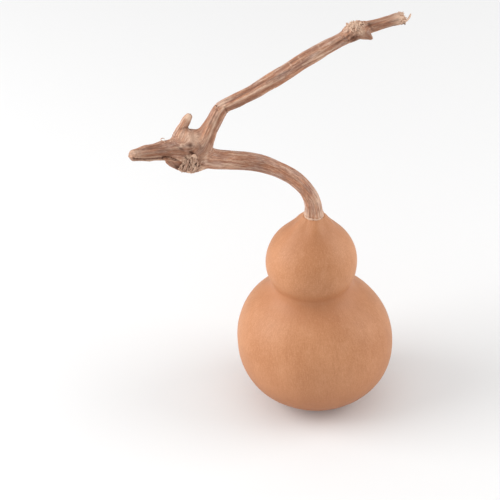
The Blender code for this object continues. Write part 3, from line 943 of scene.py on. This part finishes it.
def dried_wood():
    """Dry vine wood: lengthwise fibres of brown and grey, rust where it is worn, dark in the grooves and
    straw-pale on the ridges, and darker or paler where the stored marks say, some dark spots by the knot
    being painted shade."""
    material = bpy.data.materials.new("dried_wood")
    material.use_nodes = True
    tree = material.node_tree
    shader = tree.nodes["Principled BSDF"]
    grain = stored(tree, "grain", "Vector")
    relief = stored(tree, "relief")
    pale = stored(tree, "pale")
    dark = stored(tree, "dark")
    broad = stretched_noise(tree, grain, (0.10, 0.35, 0.35), detail=3.0)
    bands = stretched_noise(tree, grain, (0.16, 0.9, 0.9), detail=4.0)
    stripes = stretched_noise(tree, grain, (0.09, 1.25, 1.25), detail=3.0, roughness=0.6)
    fibres = stretched_noise(tree, grain, (0.35, 2.6, 2.6), detail=5.0, roughness=0.65)
    threads = stretched_noise(tree, grain, (0.9, 6.5, 6.5), detail=3.0, roughness=0.7)
    flecks = stretched_noise(tree, grain, (1.6, 2.4, 2.4), detail=3.0, roughness=0.7)
    paleness = calculate(tree, "MULTIPLY", pale, span(tree, fibres, 0.3, 0.6, 0.65, 1.0))
    layers = [
        (bands, (0.38, 0.62), WOOD_RUST),
        (broad, (0.42, 0.66, 0.0, 0.85), WOOD_GREY),
        (stripes, (0.36, 0.48, 0.6, 0.0), WOOD_DARK),
        (stripes, (0.56, 0.64, 0.0, 0.65), WOOD_STRAW),
        (fibres, (0.37, 0.51, 0.66, 0.0), WOOD_DARK),
        (fibres, (0.54, 0.68, 0.0, 0.6), WOOD_STRAW),
        (relief, (-0.4, 0.0, 0.6, 0.0), WOOD_DARK),
        (relief, (0.25, 0.6, 0.0, 0.3), WOOD_STRAW),
        (flecks, (0.62, 0.76, 0.0, 0.4), WOOD_STRAW),
        (threads, (0.34, 0.5, 0.52, 0.0), WOOD_DARK),
        (paleness, (0.0, 1.0), WOOD_STRAW),
        (dark, (0.0, 1.0), WOOD_CRACK),
    ]
    tree.links.new(layered(tree, WOOD_BROWN, layers), shader.inputs["Base Color"])
    shader.inputs["Roughness"].default_value = WOOD_ROUGHNESS
    shader.inputs["Specular IOR Level"].default_value = WOOD_SPECULAR
    height = calculate(tree, "ADD", fibres, calculate(tree, "MULTIPLY", threads, 0.6))
    roughen(tree, shader, height, WOOD_BUMP_STRENGTH, WOOD_BUMP_DEPTH)
    return material


def store_wood(mesh, grain, relief, pale, dark):
    """Keeps the four values that the wood's material reads."""
    store(mesh, "grain", grain)
    store(mesh, "relief", relief)
    store(mesh, "pale", pale)
    store(mesh, "dark", dark)


def set_down_wood(piece_name, mesh):
    """A piece of the vine's wood, which stands for the stem and vine."""
    set_down(piece_name, mesh, wood_material, "stem_and_vine")


wood_material = dried_wood()
vine_mesh = rough_wood()
vine_points = fit_to_wood(vine_mesh)
store_wood(vine_mesh, *carved_wood(vine_points)[1:])
vine_mesh.shade_smooth()
set_down_wood("vine_wood", vine_mesh)


# The loose wood: fibres frayed out where the vine was broken off, chips standing up where a second stem was
# pulled away, and a thin dry curl left of a tendril. Each is a flat tapered splint grown from the wood.
SPLINT_SIDES = 8
SPLINT_SPAN = (0.06, 0.985)
SPLINT_STEP = 0.35
SPLINT_WANDER = 0.35
SPLINT_LUMPS = 0.9
TIP_FIBRES = 18
TIP_FIBRE_ROOT = 3.0
TIP_FIBRE_STRAIGHT = 1.2
TIP_FIBRE_TURN = 0.12
TIP_FIBRE_RING = (0.45, 0.86)
TIP_FIBRE_REACH = (-0.4, 1.3)
TIP_FIBRE_BEND = (-0.25, 0.2)
TIP_FIBRE_WIDTH = (0.5, 1.1)
TIP_FIBRE_THICKNESS = 0.3
WISP_PIXELS = [(398, 23), (403, 22), (407, 20), (409.5, 17), (410.8, 13.5)]
WISP_WIDTH = 1.25
WISP_THICKNESS = 0.5
CHIP_PIXELS = [
    [(191, 156.2), (194.6, 156), (197, 158.5)],
    [(196.4, 159), (197.6, 163), (197, 168), (194.8, 172.6)],
    [(189.5, 157.5), (188.2, 162), (186, 168.5)],
    [(193.8, 160.5), (192.8, 166), (189.5, 171.5)],
    [(184, 160.5), (187, 162), (189.5, 165)],
    [(186.5, 164), (184.8, 168), (184, 172.6)],
    [(178, 168), (182, 170.5), (187, 172.2)],
    [(187, 170), (190.5, 172), (195, 172.6)],
    [(181, 164.5), (182, 167), (180.5, 170.5)],
    [(190.8, 164), (190.8, 167.5), (188, 170.5)],
    [(194.8, 165), (194.8, 168.5), (192, 172)],
]
CHIP_RISE = (0.05, 0.6, 1.0)
CHIP_LIFT = (0.3, 0.9)
CHIP_WIDTH = (0.8, 1.5)
CHIP_THICKNESS = 0.6
SHARDS = 42
SHARD_LENGTH = (3.0, 6.5)
SHARD_CORNERS = [(177.5, 167), (186, 159.5), (196, 157), (199, 168), (193, 172.5), (183, 172)]
SHARD_WAY = (-0.42, 0.91)
FLAKE_LENGTH = (1.8, 4.2)
FLAKE_WIDTH = (0.4, 0.8)
FLAKE_THICKNESS = 0.5
FLAKE_LIFT = (0.0, 0.5)
FLAKE_TURN = 0.42
CORNER_SPREAD = 0.35
CURL_PIXELS = [(165.5, 143), (163.5, 141), (161.4, 140.8), (161, 138.8), (163.4, 138.2), (165, 139.6)]
CURL_LIFT = 0.25
CURL_WIDTH = 0.42

chance = np.random.default_rng(5)


def splint(points, width, thickness, seed):
    """Rings of a flat splint along a smooth curve through the points: an oval across the curve whose size
    follows the square root of a half sine, so that it is full in the middle and closes at both ends."""
    along, stations = smooth_route([(*p, 1.0) for p in points], step=SPLINT_STEP)
    centre = stations[:, :3]
    forward = unit(np.gradient(centre, axis=0))
    flat = unit(np.cross(forward, look))
    up = np.cross(forward, flat)
    full = np.sqrt(np.sin(np.linspace(*SPLINT_SPAN, len(along)) * math.pi))[:, None]
    wander = noise(np.stack([along / SPLINT_LUMPS, 0.0 * along + seed, 0.0 * along], axis=1))
    full = full * (1.0 + SPLINT_WANDER * wander)[:, None]
    turn = np.linspace(0.0, 2.0 * math.pi, SPLINT_SIDES, endpoint=False)[None]
    rings = (
        centre[:, None]
        + (0.5 * width * full * np.cos(turn))[..., None] * flat[:, None]
        + (0.5 * thickness * full * np.sin(turn))[..., None] * up[:, None]
    )
    side = 0.7 * width * np.cos(turn) + seed + 0.0 * full
    grain = np.stack([along[:, None] + 0.0 * turn, side, np.sin(turn) * full], axis=-1)
    return rings, grain


def splint_mesh(name, splints, pale, dark):
    """One mesh of many splints, with the stored values that the wood's material reads."""
    mesh = joined_mesh(name, [ring_mesh(name, rings) for rings, _ in splints])
    grains = [with_poles(grain) for _, grain in splints]
    counts = [len(grain) for grain in grains]
    relief = np.zeros(sum(counts))
    store_wood(mesh, np.concatenate(grains), relief, np.repeat(pale, counts), np.repeat(dark, counts))
    return mesh


def tip_fibres():
    """Fibres set round the broken end, each from inside the wood out past the break, bent a little out."""
    tip = wood_branches["tip"]
    end, radius = tip["centre"][-1], tip["radius"][-1]
    forward, across, away = tip["forward"][-1], tip["across"][-1], tip["away"][-1]
    made = []
    for turn in np.linspace(0.0, 2.0 * math.pi, TIP_FIBRES, endpoint=False):
        turn = turn + chance.uniform(-TIP_FIBRE_TURN, TIP_FIBRE_TURN)
        out = math.cos(turn) * across - math.sin(turn) * away
        ring = radius * chance.uniform(*TIP_FIBRE_RING)
        reach = chance.uniform(*TIP_FIBRE_REACH)
        bend = chance.uniform(*TIP_FIBRE_BEND)
        points = [
            end + out * ring - forward * TIP_FIBRE_ROOT,
            end + out * ring - forward * TIP_FIBRE_STRAIGHT,
            end + out * (ring + 0.4 * bend) + forward * reach * 0.4,
            end + out * (ring + bend) + forward * reach,
        ]
        made.append(splint(points, chance.uniform(*TIP_FIBRE_WIDTH), TIP_FIBRE_THICKNESS, 10.0 * turn))
    made.append(splint(seen_on_wood(WISP_PIXELS), WISP_WIDTH, WISP_THICKNESS, 3.0))
    return made


fibres = tip_fibres()
fibre_pale = chance.uniform(0.45, 1.0, len(fibres))
fibre_mesh = splint_mesh("frayed_fibres", fibres, fibre_pale, np.zeros(len(fibres)))
set_down_wood("frayed_fibres", fibre_mesh)


def flake_routes(corners, count, way, length):
    """The middle lines of short flakes scattered over the wood at random places between the corners, which
    are places in the image. Each is laid near the way given and marked by four points."""
    share = chance.dirichlet(np.full(len(corners), CORNER_SPREAD), count)
    middle = share @ np.array(corners)
    turn = math.atan2(way[1], way[0]) + chance.normal(0.0, FLAKE_TURN, count)
    half = 0.5 * chance.uniform(*length, count)[:, None]
    along = np.stack([np.cos(turn), np.sin(turn)], axis=1) * half
    steps = np.linspace(-1.0, 1.0, 4)[None, :, None]
    pixels = middle[:, None] + steps * along[:, None]
    places = seen_on_wood(pixels.reshape(-1, 2)).reshape(count, 4, 3)
    return places - chance.uniform(*FLAKE_LIFT, count)[:, None, None] * look


def flake_splints(routes):
    """A small splint along each of the flakes' middle lines."""
    widths = chance.uniform(*FLAKE_WIDTH, len(routes))
    return [splint(route, widths[k], FLAKE_THICKNESS, 3.0 * k) for k, route in enumerate(routes)]


chips = flake_splints(flake_routes(SHARD_CORNERS, SHARDS, SHARD_WAY, SHARD_LENGTH))
for k, pixels in enumerate(CHIP_PIXELS):
    rise = np.interp(np.linspace(0.0, 2.0, len(pixels)), (0.0, 1.0, 2.0), CHIP_RISE)
    lift = chance.uniform(*CHIP_LIFT) * rise[:, None]
    width = chance.uniform(*CHIP_WIDTH)
    chips.append(splint(seen_on_wood(pixels) - lift * look, width, CHIP_THICKNESS, 7.0 * k))
chip_pale = chance.uniform(0.1, 0.85, len(chips))
chip_dark = chance.uniform(0.0, 0.32, len(chips))
chip_mesh = splint_mesh("torn_chips", chips, chip_pale, chip_dark)
set_down_wood("torn_chips", chip_mesh)

curl_points = seen_on_wood(CURL_PIXELS) - CURL_LIFT * look
curl_mesh = splint_mesh("tendril_curl", [splint(curl_points, CURL_WIDTH, CURL_WIDTH, 1.0)], [0.5], [0.0])
set_down_wood("tendril_curl", curl_mesh)


# The crust: pale corky flakes over the knot, where a leaf and a tendril dropped away, and the whitish dry
# ring where the stem's foot has shrunk on the fruit.
FLAKES = 130
FLAKE_WAY = (0.54, 0.84)
CRUST_CORNERS = [(345, 27), (346, 24.5), (352, 22), (358, 21), (364, 23), (365, 33.5), (353, 32)]
RING_RADIUS = 4.75
RING_HALF_HEIGHT = 0.55
RING_LIFT = 0.3
RING_FLATNESS = 0.5
RING_PIECES = 2.2
RING_SIZE = 0.9
RING_SMALLEST = 0.25
RING_SWELL = 0.9
RING_FINE_SWELL = 0.35
RING_SIDE_WANDER = 0.15
RING_UPRIGHT_WANDER = 0.35
RING_GRAIN = 1.5
RING_PALE = 0.75
RING_SIDES = 12
RING_STEPS = 150


def knot_flakes():
    """Flakes over the front of the knot, and a twin straight behind each, as far beyond the middle line."""
    front = flake_routes(CRUST_CORNERS, FLAKES, FLAKE_WAY, FLAKE_LENGTH)
    knot = wood_branches["knot"]["centre"]
    nearest = np.linalg.norm(front[:, :, None] - knot, axis=-1).argmin(axis=-1)
    back = front + 2.0 * ((knot[nearest] - front) @ look)[..., None] * look
    return flake_splints(np.concatenate([front, back]))


flakes = knot_flakes()
flake_pale = chance.uniform(0.8, 1.0, len(flakes))
flake_dark = chance.uniform(0.0, 0.12, len(flakes))
flake_mesh = splint_mesh("knot_crust", flakes, flake_pale, flake_dark)
set_down_wood("knot_crust", flake_mesh)


def foot_ring():
    """A thin broken ring round the stem's foot: a circle that wanders a little in and out, up and down, with
    an oval across it whose size swells and dwindles along it."""
    turn = np.linspace(0.0, 2.0 * math.pi, RING_STEPS, endpoint=False)
    around = RING_PIECES * np.stack([np.cos(turn), np.sin(turn), 0.0 * turn], axis=1)
    size = RING_SIZE + RING_SWELL * noise(around * 2.1, seed=201)
    size = np.maximum(size + RING_FINE_SWELL * noise(around * 5.0, seed=204), RING_SMALLEST)
    radius = RING_RADIUS + RING_SIDE_WANDER * noise(around * 1.3, seed=202)
    height = SEAT_HEIGHT + RING_LIFT + RING_UPRIGHT_WANDER * noise(around * 1.3, seed=203)
    middle = np.stack([radius * np.cos(turn) + STEM_ROUTE[0][0], radius * np.sin(turn), height], axis=1)
    out = np.stack([np.cos(turn), np.sin(turn), 0.0 * turn], axis=1)
    across = np.linspace(0.0, 2.0 * math.pi, RING_SIDES, endpoint=False)[None]
    half = RING_HALF_HEIGHT * size[:, None]
    wide = (RING_FLATNESS * half * np.cos(across))[..., None] * out[:, None]
    return middle[:, None] + wide + (half * np.sin(across))[..., None] * np.array([0.0, 0.0, 1.0])


def endless_ring_mesh(name, rings):
    """A closed mesh through rings[i, k], in mm, whose last ring is joined to its first."""
    count, sides = rings.shape[:2]
    i = np.arange(count)[:, None] * sides
    j = np.roll(i, -1, axis=0)
    k = np.arange(sides)[None]
    n = (k + 1) % sides
    faces = np.stack([i + k, j + k, j + n, i + n], axis=-1).reshape(-1, 4)
    mesh = bpy.data.meshes.new(name)
    mesh.from_pydata((rings.reshape(-1, 3) * MM).tolist(), [], faces.tolist())
    mesh.shade_smooth()
    return mesh


foot_places = foot_ring()
foot_mesh = endless_ring_mesh("stem_foot_ring", foot_places)
plain = np.zeros(len(foot_mesh.vertices))
store_wood(foot_mesh, foot_places.reshape(-1, 3) * RING_GRAIN, plain, plain + RING_PALE, plain)
set_down_wood("stem_foot_ring", foot_mesh)


# The floor: a wide sheet of pale paper, lit evenly so that it runs on past the edges of the image.
FLOOR_HALF_WIDTH = 3.0
FLOOR_COLOUR = (0.84, 0.84, 0.84, 1.0)
FLOOR_ROUGHNESS = 0.9

floor_mesh = bpy.data.meshes.new("paper_floor")
floor_signs = [(-1, -1), (1, -1), (1, 1), (-1, 1)]
floor_corners = [(x * FLOOR_HALF_WIDTH, y * FLOOR_HALF_WIDTH, 0.0) for x, y in floor_signs]
floor_mesh.from_pydata(floor_corners, [], [(0, 1, 2, 3)])
floor_material = bpy.data.materials.new("pale_paper")
floor_material.use_nodes = True
floor_shader = floor_material.node_tree.nodes["Principled BSDF"]
floor_shader.inputs["Base Color"].default_value = FLOOR_COLOUR
floor_shader.inputs["Roughness"].default_value = FLOOR_ROUGHNESS
floor_mesh.materials.append(floor_material)
floor = bpy.data.objects.new("paper_floor", floor_mesh)
bpy.context.scene.collection.objects.link(floor)


# The light: a pale room all round, a large soft box on each side, the left one stronger, and a weaker one
# overhead, so that both edges of the fruit are light and its front is a little darker.
ROOM_LIGHT = 0.62
LIT_PLACE = (0.0, 0.0, 0.09)
SOFT_BOXES = [
    ("left_box", (-0.75, -0.10, 0.45), 0.7, 6.3),
    ("right_box", (0.80, 0.05, 0.45), 0.7, 4.1),
    ("top_box", (0.0, -0.25, 1.10), 0.9, 0.8),
]

room = bpy.data.worlds.new("room")
room.use_nodes = True
room.node_tree.nodes["Background"].inputs["Color"].default_value = (1.0, 1.0, 1.0, 1.0)
room.node_tree.nodes["Background"].inputs["Strength"].default_value = ROOM_LIGHT
bpy.context.scene.world = room
for name, place, size, power in SOFT_BOXES:
    light = bpy.data.lights.new(name, "AREA")
    light.shape = "SQUARE"
    light.size = size
    light.energy = power
    lamp = bpy.data.objects.new(name, light)
    lamp.location = place
    lamp.rotation_euler = (Vector(LIT_PLACE) - Vector(place)).to_track_quat("-Z", "Y").to_euler()
    bpy.context.scene.collection.objects.link(lamp)
bpy.context.scene.view_settings.view_transform = "Standard"
